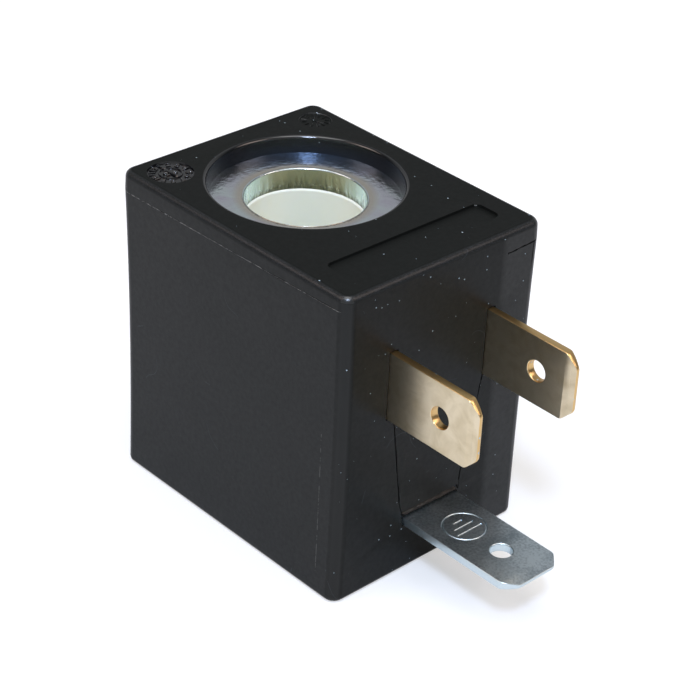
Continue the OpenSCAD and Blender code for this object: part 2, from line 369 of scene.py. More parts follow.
blackPlastic = {
    "dark": "#0e0f0e",
    "cloud": "#171917",
    "dust": "#9fb0b8",
    "worn": "#74736f",
    # wear speckle on the top edges, lightened as a painted highlight
    "rubbedAndHighlit": "#2b2d2f",
    "scratch": "#2c3033",
    # painted shade: a darker base colour for the recess walls and the large dial
    "core": "#07080a",
    # by place: the walls, the insert round the blades, the wall beside it, the cap, the edges, the recess walls,
    # the top's corners, and the rims and dials; the texture breaks up part of the gloss, most of it on the cap
    "roughness": {
        "wall": 0.36, "insert": 0.36, "beside": 0.34, "cap": 0.46,
        "edge": 0.33, "core": 0.26, "corner": 0.3, "polished": 0.13,
    },
    "sheen": {
        "wall": 0.225, "insert": 0.145, "beside": 0.3, "cap": 0.08,
        "edge": 0.33, "core": 0.48, "corner": 0.75, "polished": 0.9,
    },
    "ior": 1.5,
    "patchyRoughness": 0.14,  # how far each swings from place to place, as a share of itself
    "patchySheen": 0.16,
    "insertEnd": 6.6,
    "insertFade": 0.4,
    "grainSize": 0.14,
    "grainHeight": 0.02,
    "grainStrength": 0.09,
    "speckSize": 0.08,
    "mottleSize": 0.45,
    "cloudSize": 7,
    "dustSpacing": 0.65,
    "dustSize": 0.13,
    "dustShare": 0.55,
    "wallDustSize": 0.065,
    "wallDustShare": 0.12,
    "scratchSpacing": 9,
    "scratchWidth": 0.0012,  # as a share of the pattern's range
    "lineWidth": 0.06,
    "witness": {"inset": 2.45, "low": 2, "high": 16, "strength": 0.4},  # a pale upright line on the side walls
}


def within(tree, where, centre, radius):
    # 1 inside an upright cylinder, 0 outside it
    away = addNode(tree, "VectorMath", {0: where, 1: (centre[0] * mm, centre[1] * mm, 0)}, operation="SUBTRACT")
    flat = addNode(tree, "VectorMath", {0: away, 1: (1, 1, 0)}, operation="MULTIPLY")
    reach = addNode(tree, "VectorMath", {0: flat}, operation="LENGTH")
    return addNode(tree, "Math", {0: reach, 1: radius * mm}, operation="LESS_THAN")


def paleLines(tree, axes, side):
    # the flash on the parting line and a fainter witness line, both on the side walls
    look, witness = blackPlastic, blackPlastic["witness"]
    half = look["lineWidth"] / 2 * mm
    near, far = toolLines["flashDrop"]
    fall = (near - far) / (bodyHigh.y - bodyLow.y)
    height = (bodyHigh.z - near - fall * bodyLow.y) * mm
    level = addNode(tree, "Math", {0: axes["Y"], 1: -fall, 2: axes["Z"]}, operation="MULTIPLY_ADD")
    flash = addNode(tree, "Math", {0: level, 1: height, 2: half}, operation="COMPARE")
    inset = (bodyLow.y + witness["inset"]) * mm
    middle = (witness["low"] + witness["high"]) / 2 * mm
    reach = (witness["high"] - witness["low"]) / 2 * mm
    upright = addNode(tree, "Math", {0: axes["Y"], 1: inset, 2: half}, operation="COMPARE")
    inReach = addNode(tree, "Math", {0: axes["Z"], 1: middle, 2: reach}, operation="COMPARE")
    whole = addNode(tree, "Math", {0: upright, 1: inReach}, operation="MULTIPLY")
    faint = addNode(tree, "Math", {0: whole, 1: witness["strength"]}, operation="MULTIPLY")
    lines = addNode(tree, "Math", {0: flash, 1: faint}, operation="MAXIMUM")
    return addNode(tree, "Math", {0: lines, 1: side}, operation="MULTIPLY")


def bodyPlaces(tree, coords):
    # a mask for each part of the body's surface: 1 on it, 0 off it
    look, where = blackPlastic, coords["Object"]
    axes = addNode(tree, "SeparateXYZ", {"Vector": where}).outputs
    normal = addNode(tree, "VectorMath", {0: coords["Normal"]}, operation="ABSOLUTE")
    facing = addNode(tree, "SeparateXYZ", {"Vector": normal}).outputs
    side = addNode(tree, "Math", {0: facing["X"], 1: 0.8}, operation="GREATER_THAN")
    front = addNode(tree, "Math", {0: facing["Y"], 1: 0.8}, operation="GREATER_THAN")
    flattest = addNode(tree, "Math", {0: facing["X"], 1: facing["Y"]}, operation="MAXIMUM")
    flattest = addNode(tree, "Math", {0: flattest, 1: facing["Z"]}, operation="MAXIMUM")
    edge = addNode(tree, "MapRange", {
        "Value": flattest, "From Min": 0.9, "From Max": 0.99, "To Min": 1, "To Max": 0,
    })
    parting = (bodyHigh.z - housing["partingDrop"]) * mm
    above = addNode(tree, "Math", {0: axes["Z"], 1: parting}, operation="GREATER_THAN")
    upward = addNode(tree, "MapRange", {"Value": facing["Z"], "From Min": 0.75, "From Max": 0.95})
    cap = addNode(tree, "Math", {0: above, 1: upward}, operation="MULTIPLY")
    # the core pins that form the recesses are smooth, and their rims and the dial insert are polished
    mouth = boreRadius + housing["seat"] + housing["recessFlare"] + housing["recessRim"]
    core = within(tree, where, (0, 0), mouth)
    rimFoot = (bodyHigh.z - housing["recessRim"] * 1.05) * mm
    high = addNode(tree, "Math", {0: axes["Z"], 1: rimFoot}, operation="GREATER_THAN")
    rim = addNode(tree, "Math", {0: core, 1: high}, operation="MULTIPLY")
    disc = within(tree, where, dialCentre("large", -1), dials["large"]["diameter"] / 2)
    dial = addNode(tree, "Math", {0: disc, 1: above}, operation="MULTIPLY")
    # the insert round the blades has its own finish, and the wall beside it another
    insertEnd, fade = look["insertEnd"], look["insertFade"]
    inner = addNode(tree, "MapRange", {
        "Value": axes["X"], "From Min": (insertEnd - fade) * mm, "From Max": (insertEnd + fade) * mm,
        "To Min": 1, "To Max": 0,
    })
    insert = addNode(tree, "Math", {0: front, 1: inner}, operation="MULTIPLY")
    # the top's four corners shine from handling, and the edges between them get the pale speckle of wear and painted
    # highlight
    sharpest = addNode(tree, "Math", {0: facing["X"], 1: facing["Y"]}, operation="MINIMUM")
    sharpest = addNode(tree, "Math", {0: sharpest, 1: facing["Z"]}, operation="MINIMUM")
    pointed = addNode(tree, "Math", {0: sharpest, 1: 0.25}, operation="GREATER_THAN")
    corner = addNode(tree, "Math", {0: above, 1: pointed}, operation="MULTIPLY")
    tilted = addNode(tree, "Math", {0: facing["Z"], 1: 0.25}, operation="GREATER_THAN")
    between = addNode(tree, "Math", {0: tilted, 1: corner}, operation="SUBTRACT", use_clamp=True)
    return {
        "side": side,
        "edge": edge,
        "cap": cap,
        "core": core,
        "insert": insert,
        "beside": addNode(tree, "Math", {0: front, 1: insert}, operation="SUBTRACT"),
        "corner": corner,
        "topEdge": addNode(tree, "Math", {0: above, 1: between}, operation="MULTIPLY"),
        "polished": addNode(tree, "Math", {0: rim, 1: dial}, operation="MAXIMUM"),
        # painted shade: the recess walls and the dial take the darker core colour
        "smooth": addNode(tree, "Math", {0: core, 1: dial}, operation="MAXIMUM"),
        "lines": paleLines(tree, axes, side),
    }


def byPlace(tree, places, values, pattern, swing):
    # a value for each place on the body, which swings by a share of itself with a pattern
    plain = values["wall"]
    for name in ("insert", "beside", "cap"):
        plain = addNode(tree, "Mix", {0: places[name], 2: plain, 3: values[name]})
    change = addNode(tree, "MapRange", {
        "Value": pattern, "From Min": 0.3, "From Max": 0.7, "To Min": 1 - swing, "To Max": 1 + swing,
    })
    value = addNode(tree, "Math", {0: plain, 1: change}, operation="MULTIPLY")
    for name in ("edge", "core", "corner", "polished"):
        value = addNode(tree, "Mix", {0: places[name], 2: value, 3: values[name]})
    return value


def blackPolyamide():
    look = blackPlastic
    material, tree, coords = newMaterial("black_polyamide_moulded")
    where = coords["Object"]
    places = bodyPlaces(tree, coords)
    cloud = addNode(tree, "TexNoise", {
        "Vector": where, "Scale": perSize(look["cloudSize"]), "Detail": 3, "Distortion": 1.4,
    })
    mottle = addNode(tree, "TexNoise", {
        "Vector": where, "Scale": perSize(look["mottleSize"]), "Detail": 4, "Roughness": 0.65,
    })
    grain = addNode(tree, "TexNoise", {"Vector": where, "Scale": perSize(look["grainSize"]), "Detail": 2})
    fine = addNode(tree, "TexNoise", {"Vector": where, "Scale": perSize(look["speckSize"]), "Detail": 2})
    # dust gathers on the top and among the blades, less on the side walls
    thick = dustMask(tree, where, look["dustSpacing"], look["dustShare"], look["dustSize"])
    thin = dustMask(tree, where, look["dustSpacing"], look["wallDustShare"], look["wallDustSize"])
    dust = addNode(tree, "Mix", {0: places["side"], 2: thick, 3: thin})
    # hair scratches in some patches of the walls, none on the top
    hair = addNode(tree, "TexNoise", {"Vector": where, "Scale": perSize(look["scratchSpacing"]), "Detail": 1.5})
    line = addNode(tree, "Math", {0: hair, 1: 0.5, 2: look["scratchWidth"]}, operation="COMPARE")
    patch = addNode(tree, "TexNoise", {
        "Vector": where, "Scale": perSize(look["scratchSpacing"] / 2), "W": 3,
    }, noise_dimensions="4D")
    here = addNode(tree, "Math", {0: patch, 1: 0.6}, operation="GREATER_THAN")
    walls = addNode(tree, "Math", {0: here, 1: places["cap"]}, operation="SUBTRACT", use_clamp=True)
    scratch = addNode(tree, "Math", {0: line, 1: walls}, operation="MULTIPLY")
    # the pale lines are broken, and the top's edges get a fine pale speckle: wear, lightened as a painted highlight
    broken = addNode(tree, "MapRange", {"Value": mottle, "From Min": 0.42, "From Max": 0.52})
    worn = addNode(tree, "Math", {0: places["lines"], 1: broken}, operation="MULTIPLY")
    speckle = addNode(tree, "MapRange", {"Value": fine, "From Min": 0.45, "From Max": 0.65})
    rubbedAndHighlit = addNode(tree, "Math", {0: places["edge"], 1: speckle}, operation="MULTIPLY")
    rubbedAndHighlit = addNode(tree, "Math", {0: rubbedAndHighlit, 1: places["topEdge"]}, operation="MULTIPLY")
    shade = addNode(tree, "Mix", {
        0: cloud, 6: colour(look["dark"]), 7: colour(look["cloud"]),
    }, data_type="RGBA")
    # the core layer is painted shade, darker in the recesses and on the dial
    layers = {"scratch": scratch, "worn": worn, "rubbedAndHighlit": rubbedAndHighlit, "core": places["smooth"], "dust": dust}
    for name, mask in layers.items():
        shade = addNode(tree, "Mix", {0: mask, 6: shade, 7: colour(look[name])}, data_type="RGBA")
    bump = addNode(tree, "Bump", {
        "Strength": look["grainStrength"], "Distance": look["grainHeight"] * mm, "Height": grain,
    })
    shader = addNode(tree, "BsdfPrincipled", {
        "Base Color": shade,
        "Roughness": byPlace(tree, places, look["roughness"], cloud, look["patchyRoughness"]),
        "Specular IOR Level": byPlace(tree, places, look["sheen"], mottle, look["patchySheen"]),
        "IOR": look["ior"],
        "Normal": bump,
    })
    addNode(tree, "OutputMaterial", {"Surface": shader})
    return material


# Cold-rolled steel strip, punched and then barrel plated with bright zinc under a blue passivate.
# Silvery lilac with cloudy patches and greenish on the sheared wall, with painted reflections: blue towards the far
# side, warm on the pressed ring round the hole, olive on the far part of the wall.

zincStrip = {
    "silver": "#d6e1e3",
    "lilac": "#d0cfdc",
    # painted blue reflection of the key lamp on the far part of the plate
    "paintedBlueReflection": "#b2d3ff",
    "paintedBlueFrom": 3.2,  # where the painted blue reflection starts, towards the far side
    "paintedBlueTo": 7.5,
    "paintedBlueShare": 0.9,
    "farSide": (0.69, 0.72, 0),
    # painted warm reflection on the pressed ring round the hole
    "paintedWarmReflection": "#cdc6b9",
    "paintedWarmFrom": 0.7,  # in widths of the pressed ring
    "paintedWarmTo": 1.7,
    "paintedWarmShare": 0.85,
    "wall": "#dcf1ef",
    "wallSlack": 0.02,
    # painted olive reflection on the far part of the bore wall
    "paintedOliveReflection": "#b6b9a6",
    "paintedOliveFrom": 0.45,  # in bore radii towards the far side
    "paintedOliveTo": 0.85,
    "fracture": "#83897c",
    "fractureLift": (-0.2, 0.5),  # its ragged upper end
    "fractureFade": (-0.15, 0.35),
    "cloudSize": 2.2,
    "waveSize": 0.55,
    "waveHeight": 0.055,
    "waveStrength": 0.8,
    "pitSize": 0.16,
    "pitHeight": 0.02,
    "pitStrength": 0.25,
    "streakWidth": 0.16,
    "streakLength": 3,
    "roughness": (0.16, 0.26),
}


def zincPlatedStrip():
    look = zincStrip
    material, tree, coords = newMaterial("bright_zinc_plated_steel_strip")
    where = coords["Object"]
    axes = addNode(tree, "SeparateXYZ", {"Vector": where}).outputs
    flat = addNode(tree, "CombineXYZ", {"X": axes["X"], "Y": axes["Y"]})
    radius = addNode(tree, "VectorMath", {0: flat}, operation="LENGTH")
    along = addNode(tree, "VectorMath", {0: where, 1: look["farSide"]}, operation="DOT_PRODUCT")
    cloud = addNode(tree, "TexNoise", {
        "Vector": where, "Scale": perSize(look["cloudSize"]), "Detail": 4, "Distortion": 0.6,
    })
    wave = addNode(tree, "TexNoise", {"Vector": where, "Scale": perSize(look["waveSize"]), "Detail": 3})
    pits = addNode(tree, "TexNoise", {"Vector": where, "Scale": perSize(look["pitSize"]), "Detail": 3})
    contrast = addNode(tree, "MapRange", {"Value": cloud, "From Min": 0.35, "From Max": 0.65})
    tinted = addNode(tree, "Mix", {
        0: contrast, 6: colour(look["silver"]), 7: colour(look["lilac"]),
    }, data_type="RGBA")
    # painted blue reflection: a blue tint that grows towards the far side
    film = addNode(tree, "MapRange", {
        "Value": along, "From Min": look["paintedBlueFrom"] * mm, "From Max": look["paintedBlueTo"] * mm,
        "To Max": look["paintedBlueShare"],
    })
    plated = addNode(tree, "Mix", {0: film, 6: tinted, 7: colour(look["paintedBlueReflection"])}, data_type="RGBA")
    # painted warm reflection on the pressed ring, up to the round edge of the hole, which keeps the plain silver
    roll = punch["rollWidth"]
    start, end = boreRadius + roll * look["paintedWarmFrom"], boreRadius + roll * look["paintedWarmTo"]
    warmReflectionShare = addNode(tree, "MapRange", {
        "Value": radius, "From Min": start * mm, "From Max": end * mm, "To Min": look["paintedWarmShare"], "To Max": 0,
    })
    ringWithReflection = addNode(tree, "Mix", {0: warmReflectionShare, 6: plated, 7: colour(look["paintedWarmReflection"])}, data_type="RGBA")
    edgeEnd = (boreRadius + punch["edge"]) * mm
    onEdge = addNode(tree, "Math", {0: radius, 1: edgeEnd}, operation="LESS_THAN")
    ringWithReflection = addNode(tree, "Mix", {0: onEdge, 6: ringWithReflection, 7: colour(look["silver"])}, data_type="RGBA")
    # drawn marks run down the wall, one streak width apart round the bore
    angle = addNode(tree, "Math", {0: axes["Y"], 1: axes["X"]}, operation="ARCTAN2")
    around = addNode(tree, "Math", {0: angle, 1: boreRadius / look["streakWidth"]}, operation="MULTIPLY")
    down = addNode(tree, "Math", {0: axes["Z"], 1: perSize(look["streakLength"])}, operation="MULTIPLY")
    wrapped = addNode(tree, "CombineXYZ", {"X": around, "Z": down})
    streak = addNode(tree, "TexNoise", {"Vector": wrapped, "Scale": 1, "Detail": 2})
    # the wall starts below the round edge, and its lowest part is torn, to a ragged height
    thick = strip["thickness"]
    middle = (yokeLow.z + yokeHigh.z) / 2 * mm
    isUpper = addNode(tree, "Math", {0: axes["Z"], 1: middle}, operation="GREATER_THAN")
    face = addNode(tree, "Mix", {0: isUpper, 2: (yokeLow.z + thick) * mm, 3: yokeHigh.z * mm})
    depth = addNode(tree, "Math", {0: face, 1: axes["Z"]}, operation="SUBTRACT")
    holeEnd = (boreRadius + punch["breakout"] + look["wallSlack"]) * mm
    inHole = addNode(tree, "Math", {0: radius, 1: holeEnd}, operation="LESS_THAN")
    deep = addNode(tree, "Math", {0: depth, 1: punch["edge"] * mm}, operation="GREATER_THAN")
    inWall = addNode(tree, "Math", {0: inHole, 1: deep}, operation="MULTIPLY")
    # painted reflection: the wall turns olive towards the far side
    oliveReflectionShare = addNode(tree, "MapRange", {
        "Value": along,
        "From Min": boreRadius * look["paintedOliveFrom"] * mm, "From Max": boreRadius * look["paintedOliveTo"] * mm,
    })
    wallWithReflection = addNode(tree, "Mix", {
        0: oliveReflectionShare, 6: colour(look["wall"]), 7: colour(look["paintedOliveReflection"]),
    }, data_type="RGBA")
    sheared = addNode(tree, "Mix", {0: inWall, 6: ringWithReflection, 7: wallWithReflection}, data_type="RGBA")
    fracture = thick - punch["fracture"]
    least, most = look["fractureLift"]
    limit = addNode(tree, "MapRange", {
        "Value": streak, "From Min": 0.25, "From Max": 0.75,
        "To Min": (fracture + least) * mm, "To Max": (fracture + most) * mm,
    })
    below = addNode(tree, "Math", {0: depth, 1: limit}, operation="SUBTRACT")
    start, end = look["fractureFade"]
    tear = addNode(tree, "MapRange", {"Value": below, "From Min": start * mm, "From Max": end * mm})
    torn = addNode(tree, "Math", {0: inWall, 1: tear}, operation="MULTIPLY")
    base = addNode(tree, "Mix", {0: torn, 6: sheared, 7: colour(look["fracture"])}, data_type="RGBA")
    waves = addNode(tree, "Bump", {
        "Strength": look["waveStrength"], "Distance": look["waveHeight"] * mm, "Height": wave,
    })
    relief = addNode(tree, "Mix", {0: inWall, 2: pits, 3: streak})
    bump = addNode(tree, "Bump", {
        "Strength": look["pitStrength"], "Distance": look["pitHeight"] * mm, "Height": relief, "Normal": waves,
    })
    smooth, rough = look["roughness"]
    gloss = addNode(tree, "MapRange", {
        "Value": cloud, "From Min": 0.3, "From Max": 0.7, "To Min": smooth, "To Max": rough,
    })
    shader = addNode(tree, "BsdfPrincipled", {"Base Color": base, "Roughness": gloss, "Metallic": 1, "Normal": bump})
    addNode(tree, "OutputMaterial", {"Surface": shader})
    return material


# Unfilled polyamide, moulded: cream, faintly translucent, satin.

creamPlastic = {
    "light": "#f6f7e8",
    "shade": "#eeefde",
    "cloudSize": 5,
    "grainSize": 0.2,
    "grainHeight": 0.02,
    "grainStrength": 0.1,
    "roughness": 0.42,
    "ior": 1.53,
    "translucence": 0.3,
    "lightReach": 0.6,
    "lightTint": (1, 0.9, 0.7),
}


def naturalPolyamide():
    look = creamPlastic
    material, tree, coords = newMaterial("natural_polyamide_moulded")
    where = coords["Object"]
    cloud = addNode(tree, "TexNoise", {"Vector": where, "Scale": perSize(look["cloudSize"]), "Detail": 2})
    grain = addNode(tree, "TexNoise", {"Vector": where, "Scale": perSize(look["grainSize"])})
    base = addNode(tree, "Mix", {
        0: cloud, 6: colour(look["shade"]), 7: colour(look["light"]),
    }, data_type="RGBA")
    bump = addNode(tree, "Bump", {
        "Strength": look["grainStrength"], "Distance": look["grainHeight"] * mm, "Height": grain,
    })
    shader = addNode(tree, "BsdfPrincipled", {
        "Base Color": base,
        "Roughness": look["roughness"],
        "IOR": look["ior"],
        "Subsurface Weight": look["translucence"],
        "Subsurface Radius": look["lightTint"],
        "Subsurface Scale": look["lightReach"] * mm,
        "Normal": bump,
    })
    addNode(tree, "OutputMaterial", {"Surface": shader})
    return material


# Brass strip, cold rolled and blanked.
# Pale yellow with very faint lines along the strip, dull finger marks and some dust,
# and a deeper gold where the die sheared it.

brassStrip = {
    "pale": "#f0e1c2",
    "dull": "#d8c7a4",
    "sheared": "#e6c285",
    "dust": "#bccacf",
    "cloudSize": 1.8,
    "lineWidth": 0.07,
    "lineLength": 3,
    "lineHeight": 0.01,
    "lineStrength": 0.01,
    "dustSpacing": 0.55,
    "dustSize": 0.24,
    "dustShare": 0.6,
    "roughness": (0.285, 0.325),
}


def rolledBrass():
    look = brassStrip
    material, tree, coords = newMaterial("rolled_brass_strip")
    where = coords["Object"]
    cloud = addNode(tree, "TexNoise", {
        "Vector": where, "Scale": perSize(look["cloudSize"]), "Detail": 4, "Distortion": 0.8,
    })
    across, along = perSize(look["lineWidth"]), perSize(look["lineLength"])
    stretched = addNode(tree, "Mapping", {"Vector": where, "Scale": (across, along, across)})
    lines = addNode(tree, "TexNoise", {"Vector": stretched, "Scale": 1, "Detail": 2})
    contrast = addNode(tree, "MapRange", {"Value": cloud, "From Min": 0.4, "From Max": 0.75})
    face = addNode(tree, "Mix", {
        0: contrast, 6: colour(look["pale"]), 7: colour(look["dull"]),
    }, data_type="RGBA")
    facing = addNode(tree, "SeparateXYZ", {"Vector": coords["Normal"]}).outputs["X"]
    flatness = addNode(tree, "Math", {0: facing}, operation="ABSOLUTE")
    edge = addNode(tree, "Math", {0: flatness, 1: 0.8}, operation="LESS_THAN")
    clean = addNode(tree, "Mix", {0: edge, 6: face, 7: colour(look["sheared"])}, data_type="RGBA")
    dust = dustMask(tree, where, look["dustSpacing"], look["dustShare"], look["dustSize"])
    base = addNode(tree, "Mix", {0: dust, 6: clean, 7: colour(look["dust"])}, data_type="RGBA")
    smooth, rough = look["roughness"]
    gloss = addNode(tree, "MapRange", {
        "Value": cloud, "From Min": 0.3, "From Max": 0.7, "To Min": smooth, "To Max": rough,
    })
    bump = addNode(tree, "Bump", {
        "Strength": look["lineStrength"], "Distance": look["lineHeight"] * mm, "Height": lines,
    })
    metal = addNode(tree, "Math", {0: 1, 1: dust}, operation="SUBTRACT")
    shader = addNode(tree, "BsdfPrincipled", {
        "Base Color": base, "Roughness": gloss, "Metallic": metal, "Normal": bump,
    })
    addNode(tree, "OutputMaterial", {"Surface": shader})
    return material


# Steel strip, blanked and barrel plated with bright zinc.
# Cool grey with a fine leather grain, small scuffs, and paler burnished edges.

zincBlade = {
    "grey": "#d3dfe6",
    "dull": "#9fadb6",
    "edge": "#dcebf0",
    "cloudSize": 2.6,
    "grainSize": 0.22,
    "grainShare": 0.5,
    "grainHeight": 0.01,
    "grainStrength": 0.05,
    "roughness": (0.28, 0.37),
}


def zincPlatedBlade():
    look = zincBlade
    material, tree, coords = newMaterial("bright_zinc_plated_blade")
    where = coords["Object"]
    cloud = addNode(tree, "TexNoise", {
        "Vector": where, "Scale": perSize(look["cloudSize"]), "Detail": 5, "Distortion": 0.5,
    })
    grain = addNode(tree, "TexNoise", {"Vector": where, "Scale": perSize(look["grainSize"]), "Detail": 2})
    # large clouds and a fine crystal grain together
    mixed = addNode(tree, "Mix", {0: look["grainShare"], 2: cloud, 3: grain})
    contrast = addNode(tree, "MapRange", {"Value": mixed, "From Min": 0.4, "From Max": 0.62})
    face = addNode(tree, "Mix", {
        0: contrast, 6: colour(look["grey"]), 7: colour(look["dull"]),
    }, data_type="RGBA")
    facing = addNode(tree, "SeparateXYZ", {"Vector": coords["Normal"]}).outputs["Z"]
    flatness = addNode(tree, "Math", {0: facing}, operation="ABSOLUTE")
    edge = addNode(tree, "Math", {0: flatness, 1: 0.92}, operation="LESS_THAN")
    base = addNode(tree, "Mix", {0: edge, 6: face, 7: colour(look["edge"])}, data_type="RGBA")
    smooth, rough = look["roughness"]
    gloss = addNode(tree, "MapRange", {
        "Value": grain, "From Min": 0.3, "From Max": 0.7, "To Min": smooth, "To Max": rough,
    })
    bump = addNode(tree, "Bump", {
        "Strength": look["grainStrength"], "Distance": look["grainHeight"] * mm, "Height": grain,
    })
    shader = addNode(tree, "BsdfPrincipled", {"Base Color": base, "Roughness": gloss, "Metallic": 1, "Normal": bump})
    addNode(tree, "OutputMaterial", {"Surface": shader})
    return material


# Metals and films sealed inside: each a base with a mottled second tone.

innerLooks = {
    "enamelled_copper_wire": {
        "light": "#b8683a", "dark": "#8a4526", "metallic": 1, "roughness": 0.28, "spot": 0.8,
    },
    "polyester_film_tape": {
        "light": "#c9a24c", "dark": "#b88f3c", "metallic": 0, "roughness": 0.22, "spot": 3,
    },
    "zinc_plated_rivet_steel": {
        "light": "#b0b3b8", "dark": "#8d9196", "metallic": 1, "roughness": 0.35, "spot": 0.6,
    },
    "tin_solder": {
        "light": "#c6c8cb", "dark": "#9fa3a8", "metallic": 1, "roughness": 0.24, "spot": 0.5,
    },
    "spotHeight": 0.02,
    "spotStrength": 0.15,
}


def mottledMaterial(name):
    look = innerLooks[name]
    material, tree, coords = newMaterial(name)
    spots = addNode(tree, "TexNoise", {
        "Vector": coords["Object"], "Scale": perSize(look["spot"]), "Detail": 3,
    })
    base = addNode(tree, "Mix", {
        0: spots, 6: colour(look["dark"]), 7: colour(look["light"]),
    }, data_type="RGBA")
    bump = addNode(tree, "Bump", {
        "Strength": innerLooks["spotStrength"], "Distance": innerLooks["spotHeight"] * mm, "Height": spots,
    })
    shader = addNode(tree, "BsdfPrincipled", {
        "Base Color": base, "Roughness": look["roughness"], "Metallic": look["metallic"], "Normal": bump,
    })
    addNode(tree, "OutputMaterial", {"Surface": shader})
    return material


# Moulded body

housing = {
    "cornerRound": 1.1,
    "topRound": 0.6,
    "edgeSteps": 8,
    "footBevel": 0.45,
    "footSteps": 3,
    "draft": 0.1,
    "capDraft": 0.05,
    "sink": 0.13,  # how far the side and back walls shrink in at half height
    "sinkSteps": 9,
    "partingDrop": 1.7,
    "seat": 3.0,  # width of the steel that shows round the bore
    "recessFlare": 0.18,
    "recessRim": 0.27,
    "rimSteps": 8,
    "turnSteps": 160,
    "markDepth": 0.15,
    "pocket": {
        "length": 17.1, "width": 2.95, "depth": 0.24, "round": 0.7, "roundSteps": 8, "inset": 2.5, "slope": 0.08,
    },
    "slotGap": 0.08,
    "earthGap": 0.14,
    "insideMargin": 0.7,
    "headSteps": 48,
    "flash": 0.04,  # how far the parting flash may stand out
    "over": 1,  # how far cutters reach past the faces
    "hidden": 0.05,
}


def wallInset(height, sink):
    # how far a wall stands in from the parting line: the taper, and the sink at half height
    parting = bodyHigh.z - housing["partingDrop"]
    if height > parting:
        return housing["capDraft"] * (height - parting) / housing["partingDrop"]
    share = 1 - height / parting
    return housing["draft"] * share + 4 * sink * share * (1 - share)


def bodySkin():
    look = housing
    out = look["flash"]
    low, high = bodyLow + Vector((out, out, 0)), bodyHigh - Vector((out, out, 0))
    middle = (low + high) / 2
    half = (high - low) / 2
    skin = addBlock("moulded_body", low, high)
    takeUp(skin)
    pick(skin, "EDGE", lambda e: riseOf(e) > 1)
    roundEdges(look["cornerRound"], look["edgeSteps"])
    pick(skin, "EDGE", lambda e: allNear(e, 2, high.z))
    roundEdges(look["topRound"], look["edgeSteps"])
    pick(skin, "EDGE", lambda e: allNear(e, 2, low.z))
    roundEdges(look["footBevel"], look["footSteps"])
    parting = high.z - look["partingDrop"]
    for step in range(1, look["sinkSteps"] + 1):
        pickAll()
        bpy.ops.mesh.bisect(plane_co=(0, 0, parting * step / look["sinkSteps"]), plane_no=(0, 0, 1))
    mesh = bmesh.from_edit_mesh(skin.data)
    for vertex in mesh.verts:
        spot = vertex.co - middle
        sinkY = 0 if spot.y < 0 else look["sink"]  # the terminal face stays flat
        vertex.co.x -= spot.x / half.x * wallInset(vertex.co.z, look["sink"])
        vertex.co.y -= spot.y / half.y * wallInset(vertex.co.z, sinkY)
    bmesh.update_edit_mesh(skin.data)
    closeSeams(skin)
    return skin


def recessCutter(floor, mouth):
    look = housing
    side = 1 if mouth > floor else -1
    wall = boreRadius + look["seat"] + look["recessFlare"]
    rim = look["recessRim"]
    arc = roundCorner((wall + rim, mouth - side * rim), (rim, side * rim), 180, 90, look["rimSteps"])
    beyond = mouth + side * look["over"]
    profile = [(0, floor), (boreRadius + look["seat"], floor), *arc, (wall + rim, beyond), (0, beyond)]
    return turnProfile("recess", profile, look["turnSteps"])


def pocketCutter():
    look = housing["pocket"]
    front = bodyLow.y + look["inset"]
    floor, beyond = bodyHigh.z - look["depth"], bodyHigh.z + housing["over"]
    half = look["length"] / 2
    cutter = addBlock("pocket", (-half, front, floor), (half, front + look["width"], beyond))
    takeUp(cutter)
    pick(cutter, "EDGE", lambda e: riseOf(e) > 0.1)
    roundEdges(look["round"], look["roundSteps"])
    pick(cutter, "FACE", lambda f: f.normal.z < -0.9)
    slope = 2 * look["slope"]
    bpy.ops.transform.resize(value=(1 - slope / look["length"], 1 - slope / look["width"], 1))
    bpy.ops.object.mode_set(mode="OBJECT")
    return cutter


def slotCutters():
    gap, room = housing["slotGap"], housing["earthGap"]
    inner = bodyLow.y + housing["over"]
    outer = bodyLow.y - housing["over"]
    pitch = lineHigh.x + lineLow.x
    for shift in (0, -pitch):
        low = (lineLow.x + shift - gap, outer, lineLow.z - gap)
        yield addBlock("slot", low, (lineHigh.x + shift + gap, inner, lineHigh.z + gap))
    low = (earthLow.x - room, outer, earthLow.z - gap)
    yield addBlock("slot", low, (earthHigh.x + gap, inner, earthHigh.z + room))


def insideCutters():
    # all that the body holds: a block between the outer faces of the yoke, less the plastic of the CAD body
    margin = Vector((housing["insideMargin"], housing["insideMargin"], 0))
    low, high = bodyLow + margin, bodyHigh - margin
    low.z, high.z = yokeLow.z, yokeHigh.z
    inside = addBlock("inside", low, high)
    combine(inside, cadCopy("encapsulation"))
    yield inside
    # the rivet's lower head lies below the yoke
    gap = housing["slotGap"]
    radius = (rivetHigh.x - rivetLow.x) / 2 + gap
    head = turnRod("head", radius, rivetLow.z - gap, yokeLow.z + gap, housing["headSteps"])
    yield place(head, (0, rivetY, 0))


# Date dials: a sunk disc with raised numbers or ticks round an arrow

dials = {
    "large": {"diameter": 4.0, "side": 2.95, "rear": 3.25, "numbers": True},
    "small": {"diameter": 3.0, "side": 2.55, "rear": 3.0, "numbers": False},
    "slope": 0.06,
    "steps": 48,
    "markInset": 0.48,
    "numberSize": 0.78,
    "markHeight": 0.12,
    "tickHeight": 0.06,
    "tickHalf": (0.05, 0.2),
    "sunk": 0.03,
    "soft": 0.03,
    "year": (("2", -0.42), ("4", 0.42)),
    "innerRing": 0.98,
    "ringHalf": 0.07,
    "ringSteps": 40,
    "arrow": {"inset": 0.6, "shaftHalf": 0.08, "headHalf": 0.24, "headLength": 0.4},
}


